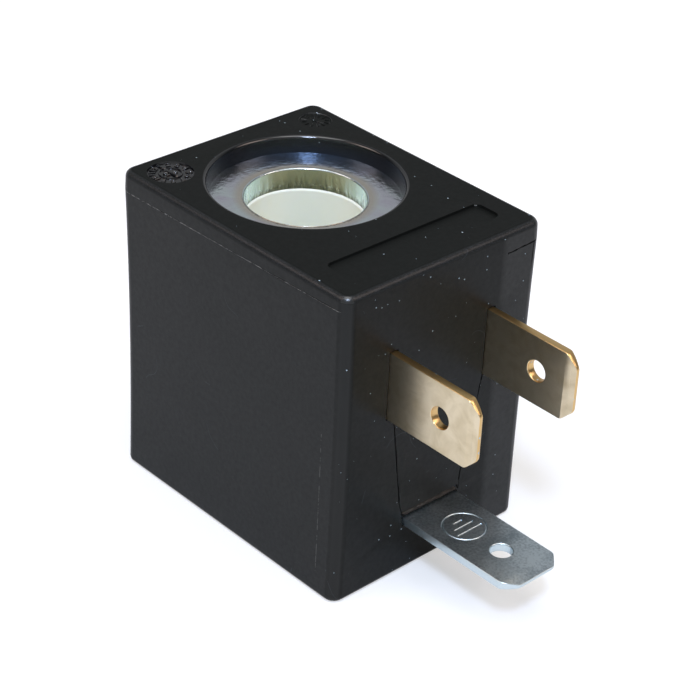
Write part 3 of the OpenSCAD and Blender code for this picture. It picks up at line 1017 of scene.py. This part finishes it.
def raisedNumber(number):
    # stands on the dial's floor, with its root just below
    tall, sunk, soft = dials["markHeight"], dials["sunk"], dials["soft"]
    clearSelection()
    bpy.ops.object.text_add()
    letter = bpy.context.object
    letter.data.body = number
    letter.data.size = dials["numberSize"]
    letter.data.align_x = "CENTER"
    letter.data.align_y = "CENTER"
    letter.data.extrude = (tall + sunk) / 2 - soft
    letter.data.bevel_depth = soft
    letter.data.bevel_resolution = 0
    letter.data.resolution_u = 3
    bpy.ops.object.convert(target="MESH")
    mark = named("number")
    closeSeams(mark)
    return place(mark, (0, 0, (tall - sunk) / 2))


def dialMarks(look):
    sunk = dials["sunk"]
    ring = look["diameter"] / 2 - dials["markInset"]
    tall = dials["markHeight"] if look["numbers"] else dials["tickHeight"]
    wide, long = dials["tickHalf"]
    for month in range(12):
        if look["numbers"]:
            mark = raisedNumber(str(month + 1))
        else:
            mark = addBlock("tick", (-wide, -long, -sunk), (wide, long, tall))
        place(mark, (0, ring, 0))
        yield place(mark, (0, 0, 0), "Z", -month * 30)
    if look["numbers"]:
        radius, half = dials["innerRing"], dials["ringHalf"]
        section = roundCorner((radius, 0), (half, tall), 0, 180, 6) + [(radius - half, -sunk), (radius + half, -sunk)]
        yield turnProfile("ring", section, dials["ringSteps"], ring=True)
        for number, side in dials["year"]:
            yield place(raisedNumber(number), (side, 0, 0))
    arrow = dials["arrow"]
    reach, shaft = ring - arrow["inset"], arrow["shaftHalf"]
    neck = reach - arrow["headLength"]
    outline = [(0, reach, 0), (-arrow["headHalf"], neck, 0), (-shaft, neck, 0), (-shaft, -reach, 0)]
    outline += [(-x, y, z) for x, y, z in reversed(outline[1:])]
    mark = drawPath("arrow", outline, filled=True)
    drawOut((0, 0, tall + sunk))
    closeSeams(mark)
    yield place(mark, (0, 0, -sunk))


def dialCentre(name, sign):
    look = dials[name]
    return sign * (bodyHigh.x - look["side"]), bodyHigh.y - look["rear"]


def addDial(body, name, sign):
    look = dials[name]
    deep = housing["markDepth"]
    beyond = deep + housing["over"]
    centre = Vector((*dialCentre(name, sign), bodyHigh.z - deep))
    radius = look["diameter"] / 2
    profile = [(0, 0), (radius - dials["slope"], 0), (radius, deep), (radius, beyond), (0, beyond)]
    combine(body, place(turnProfile("dial", profile, dials["steps"]), centre))
    for mark in dialMarks(look):
        combine(body, place(mark, centre), "UNION")


# Thin lines that the tool's parts leave on the body: raised flash and fine witness grooves

toolLines = {
    "step": 0.3,
    "stray": 0.015,
    "swell": (0.75, 1.2),  # least and most width along a line, as a share
    "groove": 0.1,
    "sunk": 0.06,
    "flash": 0.03,
    "flashSeat": 0.015,
    "flashInset": 1.2,
    "flashDrop": (1.3, 1.9),  # below the top at the front and at the back
    "lip": 0.06,
    "lipSeat": 0.03,
    "lipEnds": (0.2, 0.05),
    "overLip": 0.3,
    "overLipGroove": 0.17,
    "seed": 7,
}


def addToolLines(body):
    look = toolLines
    draw = random.Random(look["seed"])
    front, left = bodyLow.y + housing["flash"], bodyLow.x + housing["flash"]
    top = bodyHigh.z

    def lineOn(corners, width, how):
        points = raggedPoints(corners, look["step"], look["stray"], draw)
        widths = [draw.uniform(*look["swell"]) for point in points]
        combine(body, softTube("line", points, width, widths), how)

    # the edge of the terminal face's insert shows at one upper corner
    # and from the line blades to the earth blade
    under, over = lineLow.z - 0.1, earthHigh.z + 0.1
    frontLines = [
        [(6.9, top - 1.95), (10.2, top - 1.8)],
        [(-5.1, under), (-3.74, 7.2), (-3.27, over)],
        [(5.07, under), (4.7, 14.1), (3.37, 7.4), (3.3, over)],
    ]
    for line in frontLines:
        corners = [(x, front + wallInset(z, 0) + look["sunk"], z) for x, z in line]
        lineOn(corners, look["groove"], "DIFFERENCE")
    seat, inset = left + look["flashSeat"], look["flashInset"]
    near, far = look["flashDrop"]
    lineOn([(seat, bodyLow.y + inset, top - near), (seat, bodyHigh.y - inset, top - far)], look["flash"], "UNION")
    # over the earth blade the insert leaves a thin lip with a groove above it
    lip = earthHigh.z + housing["earthGap"] + look["lip"]
    start, end = earthLow.x - look["lipEnds"][0], earthHigh.x + look["lipEnds"][1]
    rows = ((lip, look["lip"], "UNION"), (lip + look["overLip"], look["overLipGroove"], "DIFFERENCE"))
    for height, width, how in rows:
        seat = front + wallInset(height, 0) + look["lipSeat"]
        lineOn([(start, seat, height), (end, seat, height)], width, how)


def buildBody():
    body = bodySkin()
    combine(body, recessCutter(yokeHigh.z - housing["hidden"], bodyHigh.z))
    combine(body, recessCutter(yokeLow.z + housing["hidden"], bodyLow.z))
    combine(body, pocketCutter())
    for cutter in (*insideCutters(), *slotCutters()):
        combine(body, cutter)
    addDial(body, "large", -1)
    addDial(body, "small", 1)
    addToolLines(body)
    finishPiece(body, blackPolyamide(), "body_plastic", "encapsulation", sharp=30)


# Yoke: one bent strip, punched twice for the bore

strip = {
    "thickness": 2.0,
    "bend": 0.6,
    "bendSteps": 8,
    "plateHalf": 9.0,
    "plateRound": 1.5,
    "roundSteps": 8,
    "tongue": 8.3,
    "overlap": 1,
}
punch = {
    "rollWidth": 0.65,
    "rollDepth": 0.03,
    "edge": 0.14,  # the small round between the pressed ring and the wall
    "edgeSteps": 8,
    "burr": 0.045,
    "fracture": 0.5,
    "breakout": 0.08,
    "tear": 0.08,
    "ragged": (-0.12, 0.1),
    "over": 1,
    "steps": 240,
    "seed": 3,
}
rivetHole = {"radius": 1.25, "length": 9, "steps": 32}


def rivetCutter(bottom):
    hole = turnRod("hole", rivetHole["radius"], 0, rivetHole["length"], rivetHole["steps"])
    return place(hole, (0, rivetY, bottom))


def boreCutter(top, bottom):
    # the wall of a punched hole: pressed ring, small burr, round edge, burnished band, ragged fracture
    look = punch
    edge, burr, breakout = look["edge"], look["burr"], look["breakout"]
    outer = boreRadius + look["rollWidth"]
    above, below = top + look["over"], bottom - look["over"]
    pressed = top - look["rollDepth"]
    rounded = roundCorner((boreRadius + edge, pressed - edge), edge, 90, 180, look["edgeSteps"])
    torn = bottom + look["fracture"]
    profile = [
        (0, above), (outer, above), (outer, top),
        (boreRadius + edge + 2 * burr, pressed), (boreRadius + edge + 0.1 * burr, pressed - burr), *rounded,
        (boreRadius, torn), (boreRadius + breakout * 0.7, torn - look["tear"]),
        (boreRadius + breakout, below), (0, below),
    ]
    cutter = turnProfile("bore", profile, look["steps"])
    draw = random.Random(look["seed"])
    takeUp(cutter)
    mesh = bmesh.from_edit_mesh(cutter.data)
    ragged = {}
    for vertex in mesh.verts:
        if bottom < vertex.co.z < torn + 0.01:
            angle = round(math.atan2(vertex.co.y, vertex.co.x), 3)
            ragged.setdefault(angle, draw.uniform(*look["ragged"]))
            vertex.co.z += ragged[angle]
    bmesh.update_edit_mesh(cutter.data)
    bpy.ops.object.mode_set(mode="OBJECT")
    return cutter


def buildYoke():
    look = strip
    thick, half, steps = look["thickness"], look["plateHalf"], look["bendSteps"]
    bendY = yokeHigh.y - thick - look["bend"]
    upper = yokeHigh.z - thick - look["bend"]
    lower = yokeLow.z + thick + look["bend"]
    yoke = addBlock("steel_yoke", (-half, -half, yokeHigh.z - thick), (half, bendY, yokeHigh.z))
    takeUp(yoke)
    pick(yoke, "EDGE", lambda e: allNear(e, 1, -half) and riseOf(e) > 0.1)
    roundEdges(look["plateRound"], look["roundSteps"])
    pick(yoke, "FACE", lambda f: f.normal.y > 0.9)
    bpy.ops.mesh.spin(steps=steps, angle=math.pi / 2, center=(0, bendY, upper), axis=(1, 0, 0))
    drawOut((0, 0, lower - upper))
    bpy.ops.mesh.spin(steps=steps, angle=math.pi / 2, center=(0, bendY, lower), axis=(1, 0, 0))
    drawOut((0, -half - bendY, 0))
    closeSeams(yoke)
    wide = look["tongue"] / 2
    tongueEnd = (wide, look["overlap"] - half, yokeLow.z + thick)
    combine(yoke, addBlock("tongue", (-wide, yokeLow.y, yokeLow.z), tongueEnd), "UNION")
    combine(yoke, rivetCutter(yokeLow.z - 1))
    combine(yoke, boreCutter(yokeHigh.z, yokeHigh.z - thick))
    combine(yoke, boreCutter(yokeLow.z + thick, yokeLow.z))
    finishPiece(yoke, zincPlatedStrip(), "yoke_steel", "yoke")


# Bobbin: a spun spool with a shelf and two blocks for the line terminals

spool = {
    "wall": 0.8,
    "flange": 1.2,
    "fillet": 0.2,
    "mouthBevel": 0.2,
    "mouthSteps": 5,
    "mouthLip": 0.08,  # how far the tube stands in past the steel's wall
    "edgeBreak": 0.15,
    "steps": 160,
    "shelfHalf": 7.6,
    "shelfSunk": 0.1,  # how far the shelf runs into the tube
    "shelfSteps": 64,
    "blockWidth": 3.2,
    "blockDepth": 3.9,
    "blockFloor": 0.9,
    "root": 4.0,
    "bladeHalf": 0.4,
    "gap": 0.05,
    "wireGap": 0.1,
    "over": 1,
    "beyond": 20,  # farther than any piece reaches
}


def buildBobbin():
    look = spool
    low, high = bobbinLow.z, bobbinHigh.z
    tube, rim = boreRadius + look["wall"], bobbinHigh.x
    mouth, soft, flange, fillet = look["mouthBevel"], look["edgeBreak"], look["flange"], look["fillet"]
    over, beyond = look["over"], look["beyond"]
    inner = boreRadius - look["mouthLip"]
    half = [
        *roundCorner((inner + mouth, mouth), mouth, 180, 270, look["mouthSteps"]),
        (rim - soft, 0), (rim, soft), (rim, flange - soft), (rim - soft, flange),
        (tube + fillet, flange), (tube, flange + fillet),
    ]
    profile = [(r, low + z) for r, z in half] + [(r, high - z) for r, z in reversed(half)]
    bobbin = turnProfile("bobbin_spool", profile, look["steps"], ring=True)
    # the flanges are flat where they meet the yoke's leg
    combine(bobbin, addBlock("flat", (-beyond, bobbinHigh.y, 0), (beyond, beyond, 2 * beyond)))
    front = bobbinLow.y
    back = front + look["blockDepth"]
    shelf = addBlock("shelf", (-look["shelfHalf"], front, high - flange), (look["shelfHalf"], -tube, high))
    pitch = (lineLow.x + lineHigh.x) / 2
    rootLow = (lineLow.z + lineHigh.z) / 2 - look["root"] / 2
    rootHigh = (lineLow.z + lineHigh.z) / 2 + look["root"] / 2
    wide = look["blockWidth"] / 2
    for x in (pitch, -pitch):
        corner = (x - wide, front, rootLow - look["blockFloor"])
        combine(shelf, addBlock("block", corner, (x + wide, back, high - flange / 2)), "UNION")
    combine(shelf, turnRod("tube", tube - look["shelfSunk"], 0, 2 * beyond, look["shelfSteps"]))
    combine(bobbin, shelf, "UNION")
    gap = look["gap"]
    wide = gap + look["bladeHalf"]
    for x in (pitch, -pitch):
        corner = (x - wide, front - over, rootLow - gap)
        combine(bobbin, addBlock("window", corner, (x + wide, back + over, rootHigh + gap)))
    # a slit for the wire's inner end
    wireLow, wireHigh = boxOf("start_lead")
    room = look["wireGap"]
    corner = (wireLow.x - room, wireLow.y - room, high - flange - over)
    combine(bobbin, addBlock("slit", corner, (wireHigh.x + gap, wireHigh.y + room, high + over)))
    finishPiece(bobbin, naturalPolyamide(), "bobbin_plastic", "bobbin")


# Blades: stamped strip with a coined tip and a detent hole

stamping = {
    "tipCut": 1.1,
    "tipBevel": 1.1,
    "tipThickness": 0.4,
    "cornerSoft": 0.22,
    "cornerSteps": 4,
    "edgeBreak": 0.07,
    "edgeSteps": 3,
    "fracture": 0.05,  # how far the broken side of the sheared edge falls back
    "fractureFrom": 0.05,  # above half the thickness, as a share of it
    "detent": 0.95,
    "detentInset": 4.05,
    "detentRim": 0.1,
    "rimSteps": 4,
    "detentSteps": 48,
    "tangHalf": 0.7,
}


def stampBlade(name, tip, steps, thick):
    # lies flat in X and Y with its tip at -Y; steps are pairs of half width and where that width ends
    look = stamping
    half = steps[0][0]
    bevelEnd = tip + look["tipBevel"]
    right = [(half - look["tipCut"], tip), (half, tip + look["tipCut"])]
    for index, (wide, end) in enumerate(steps):
        right += ([(wide, steps[index - 1][1])] if index else []) + [(wide, end)]
    outline = right + [(-x, y) for x, y in reversed(right)]
    blade = drawPath(name, [(x, y, -thick / 2) for x, y in outline], filled=True)
    pick(blade, "VERT", lambda v: v.co.y < tip + look["tipCut"] + 0.01)
    bpy.ops.mesh.bevel(offset=look["cornerSoft"], segments=look["cornerSteps"], affect="VERTICES")
    pickAll()
    drawOut((0, 0, thick))
    closeSeams(blade)
    takeUp(blade)
    pickAll()
    bpy.ops.mesh.bisect(plane_co=(0, bevelEnd, 0), plane_no=(0, 1, 0))
    pickAll()
    bpy.ops.mesh.bisect(plane_co=(0, 0, thick * look["fractureFrom"]), plane_no=(0, 0, 1))
    # coin the tip: thinner in proportion to the distance past the bevel's start
    mesh = bmesh.from_edit_mesh(blade.data)
    for vertex in mesh.verts:
        past = max(0, bevelEnd - vertex.co.y) / look["tipBevel"]
        vertex.co.z *= 1 - past * (1 - look["tipThickness"] / thick)
    bmesh.update_edit_mesh(blade.data)
    pick(blade, "VERT", lambda v: v.co.z < -0.01)
    fall = look["fracture"] / half
    bpy.ops.transform.resize(value=(1 - fall, 1 - fall / 3, 1), center_override=(0, steps[0][1], 0))
    pick(blade, "EDGE", lambda e: e.calc_face_angle(0) > 0.9 and riseOf(e) < 0.05)
    roundEdges(look["edgeBreak"], look["edgeSteps"])
    closeSeams(blade)
    rim, radius = look["detentRim"], look["detent"]
    outer = radius + rim
    arc = roundCorner((outer, thick / 2 - rim), rim, 180, 90, look["rimSteps"])
    mirrored = [(r, -z) for r, z in reversed(arc)]
    profile = [(0, -thick), (outer, -thick), *mirrored, *arc, (outer, thick), (0, thick)]
    detent = turnProfile("detent", profile, look["detentSteps"])
    combine(blade, place(detent, (0, tip + look["detentInset"], 0)))
    return blade


def buildLineTerminals():
    thick = lineHigh.x - lineLow.x
    middle = (lineLow + lineHigh) / 2
    steps = [
        ((lineHigh.z - lineLow.z) / 2, bobbinLow.y),
        (spool["root"] / 2, bobbinLow.y + spool["blockDepth"]),
        (stamping["tangHalf"], lineHigh.y),
    ]
    brass = rolledBrass()
    left = stampBlade("left_blade", lineLow.y, steps, thick)
    place(left, (0, 0, 0), "Y", -90)
    right = copyOf(left, "right_blade")
    place(left, (middle.x, 0, middle.z))
    place(right, (-middle.x, 0, middle.z))
    finishPiece(left, brass, "terminal_brass", "left_terminal")
    finishPiece(right, brass, "terminal_brass", "right_terminal")


# Protective earth sign: three bars in a ring, engraved

earthSign = {
    "reach": 4.0,  # from the terminal face
    "ring": 1.87,
    "ringSteps": 64,
    "line": 0.1,
    "depth": 0.09,
    "lift": 0.02,
    "lineSteps": 6,
    "bars": [(0.8, 0.48), (0.1, 1.03), (-0.62, 1.4)],  # place along the blade and half length
}


def engraveSign(blade, face):
    look = earthSign
    centre = bodyLow.y - look["reach"]
    section = roundCorner((0, look["lift"]), (look["line"], look["depth"]), 180, 360, look["lineSteps"])
    groove = [(look["ring"] + across, height) for across, height in section]
    combine(blade, place(turnProfile("ring", groove, look["ringSteps"], ring=True), (0, centre, face)))
    for along, reach in look["bars"]:
        bar = drawPath("bar", [(0, across, height) for across, height in section], filled=True)
        drawOut((2 * reach, 0, 0))
        closeSeams(bar)
        combine(blade, place(bar, (-reach, centre + along, face)))


def buildEarthTerminal():
    thick = earthHigh.z - earthLow.z
    blade = stampBlade("earth_blade", earthLow.y, [(earthHigh.x, earthHigh.y)], thick)
    place(blade, (0, 0, (earthLow.z + earthHigh.z) / 2))
    combine(blade, rivetCutter(1))
    engraveSign(blade, earthHigh.z)
    finishPiece(blade, zincPlatedBlade(), "earth_steel", "earth_terminal")


# Winding, tape and wire ends inside the body

turns = {"wire": 0.27, "arc": 80, "arcSteps": 5, "steps": 72}


def buildWinding():
    look = turns
    count = round((windingHigh.z - windingLow.z) / look["wire"])
    pitch = (windingHigh.z - windingLow.z) / count
    outer, inner = windingHigh.x, boreRadius + spool["wall"] + spool["gap"]
    profile = [(inner, windingLow.z)]
    for turn in range(count):
        centre = (outer - pitch / 2, windingLow.z + pitch * (turn + 0.5))
        profile += roundCorner(centre, pitch / 2, -look["arc"], look["arc"], look["arcSteps"])
    profile.append((inner, windingHigh.z))
    winding = turnProfile("copper_winding", profile, look["steps"], ring=True)
    finishPiece(winding, mottledMaterial("enamelled_copper_wire"), "copper_wire", "winding", sharp=60)


film = {
    "thickness": 0.12,
    "steps": 96,
    "tailAngle": 25,
    "tailSteps": 8,
    "tailSunk": 0.02,
    "tailHeight": 0.03,
    "tailInset": 0.1,
}


def buildTape():
    look = film
    low, high = tapeLow.z, tapeHigh.z
    outer = tapeHigh.x
    inner = outer - look["thickness"]
    profile = [(inner, low), (outer, low), (outer, high), (inner, high)]
    tape = turnProfile("winding_film", profile, look["steps"], ring=True)
    # the loose end laps over the turn below
    root, crest = outer - look["tailSunk"], outer + look["tailHeight"]
    low, high = low + look["tailInset"], high - look["tailInset"]
    tail = drawPath("tail", [(root, 0, low), (crest, 0, low), (crest, 0, high), (root, 0, high)], filled=True)
    lap = math.radians(look["tailAngle"])
    bpy.ops.mesh.spin(steps=look["tailSteps"], angle=lap, center=(0, 0, 0), axis=(0, 0, 1))
    closeSeams(tail)
    combine(tape, tail, "UNION")
    finishPiece(tape, mottledMaterial("polyester_film_tape"), "tape_film", "winding_tape")


innerNodes = {
    "earth_rivet": "zinc_plated_rivet_steel",
    "start_lead": "enamelled_copper_wire",
    "finish_lead": "enamelled_copper_wire",
    "left_solder_joint": "tin_solder",
    "right_solder_joint": "tin_solder",
}


def dressInnerNodes():
    for node, name in innerNodes.items():
        material = bpy.data.materials.get(name) or mottledMaterial(name)
        mesh = frame["nodes"][node].data
        mesh.materials.clear()
        mesh.materials.append(material)
    print("inner nodes dressed")


# Stage: white floor, soft lamps and a pale studio, all in metres

studio = {
    "floor": "#c6c6c6",
    "floorSize": 20,
    "floorDrop": 0.00002,
    "shownLift": 0.46,
    "mirroredLift": 0.16,
    "ambient": 0.28,
    "horizon": "#b9babc",
    "upper": "#a7a9ab",
    "upperFade": (0.05, 0.4),
    "aside": "#46474a",  # to the left and right of the photograph's line the room is darker
    "asideFade": (0.2, 0.65),
    "cameraLine": (0.69, 0.72, 0),
    "lampAim": (0, 0, 0.02),
    "lamps": {
        "key": {"place": (-0.235, -0.245, 0.46), "size": 0.085, "power": 2.1, "shade": "#cbdeff"},
        "top": {"place": (-0.06, -0.06, 0.62), "size": 0.45, "power": 1.8, "shade": "#ffffff"},
        "left": {"place": (-0.37, 0.25, 0.45), "size": 0.3, "power": 0.9, "shade": "#ffeae0"},
        "right": {"place": (0.26, -0.365, 0.45), "size": 0.3, "power": 0.9, "shade": "#ffeae0"},
    },
}


def setFloor():
    look = studio
    clearSelection()
    bpy.ops.mesh.primitive_plane_add(size=look["floorSize"], location=(0, 0, -look["floorDrop"]))
    floor = named("floor")
    material = bpy.data.materials.new("white_floor")
    tree = emptyTree(material)
    path = addNode(tree, "LightPath").outputs
    mirrored = addNode(tree, "Math", {
        0: path["Is Glossy Ray"], 1: path["Is Transmission Ray"],
    }, operation="MAXIMUM")
    paper = addNode(tree, "BsdfDiffuse", {"Color": colour(look["floor"])})
    shown = addNode(tree, "Math", {0: path["Is Camera Ray"], 1: look["shownLift"]}, operation="MULTIPLY")
    lift = addNode(tree, "Math", {0: mirrored, 1: look["mirroredLift"], 2: shown}, operation="MULTIPLY_ADD")
    glow = addNode(tree, "Emission", {"Strength": lift})
    lit = addNode(tree, "AddShader", {0: paper, 1: glow})
    # from below the floor is clear
    under = addNode(tree, "NewGeometry").outputs["Backfacing"]
    clear = addNode(tree, "BsdfTransparent")
    surface = addNode(tree, "MixShader", {0: under, 1: lit, 2: clear})
    addNode(tree, "OutputMaterial", {"Surface": surface})
    floor.data.materials.append(material)


def setRoom():
    look = studio
    world = bpy.data.worlds.new("studio")
    bpy.context.scene.world = world
    tree = emptyTree(world)
    path = addNode(tree, "LightPath").outputs
    way = addNode(tree, "TexCoord").outputs["Generated"]
    height = addNode(tree, "SeparateXYZ", {"Vector": way}).outputs["Z"]
    start, end = look["upperFade"]
    fade = addNode(tree, "MapRange", {"Value": height, "From Min": start, "From Max": end})
    room = addNode(tree, "Mix", {
        0: fade, 6: colour(look["horizon"]), 7: colour(look["upper"]),
    }, data_type="RGBA")
    ahead = addNode(tree, "VectorMath", {0: way, 1: look["cameraLine"]}, operation="DOT_PRODUCT")
    ahead = addNode(tree, "Math", {0: ahead}, operation="ABSOLUTE")
    start, end = look["asideFade"]
    lit = addNode(tree, "MapRange", {"Value": ahead, "From Min": start, "From Max": end})
    room = addNode(tree, "Mix", {0: lit, 6: colour(look["aside"]), 7: room}, data_type="RGBA")
    shown = addNode(tree, "Mix", {0: path["Is Camera Ray"], 6: room, 7: (1, 1, 1, 1)}, data_type="RGBA")
    seen = addNode(tree, "Math", {0: path["Is Camera Ray"], 1: path["Is Glossy Ray"]}, operation="MAXIMUM")
    seen = addNode(tree, "Math", {0: seen, 1: path["Is Transmission Ray"]}, operation="MAXIMUM")
    ambient = addNode(tree, "Background", {"Color": (1, 1, 1, 1), "Strength": look["ambient"]})
    backdrop = addNode(tree, "Background", {"Color": shown, "Strength": 1})
    both = addNode(tree, "MixShader", {0: seen, 1: ambient, 2: backdrop})
    addNode(tree, "OutputWorld", {"Surface": both})


def setLamps():
    for name, look in studio["lamps"].items():
        clearSelection()
        bpy.ops.object.light_add(type="AREA", location=look["place"])
        lamp = bpy.context.object
        lamp.name = name + "_lamp"
        lamp.data.size = look["size"]
        lamp.data.energy = look["power"]
        lamp.data.color = colour(look["shade"])[:3]
        aim = Vector(studio["lampAim"]) - Vector(look["place"])
        lamp.rotation_euler = aim.to_track_quat("-Z", "Y").to_euler()


def setStage():
    setFloor()
    setRoom()
    setLamps()
    print("stage set")


setCamera()
buildBody()
buildYoke()
buildBobbin()
buildLineTerminals()
buildEarthTerminal()
buildWinding()
buildTape()
dressInnerNodes()
setStage()
bpy.context.scene.view_settings.view_transform = "Standard"
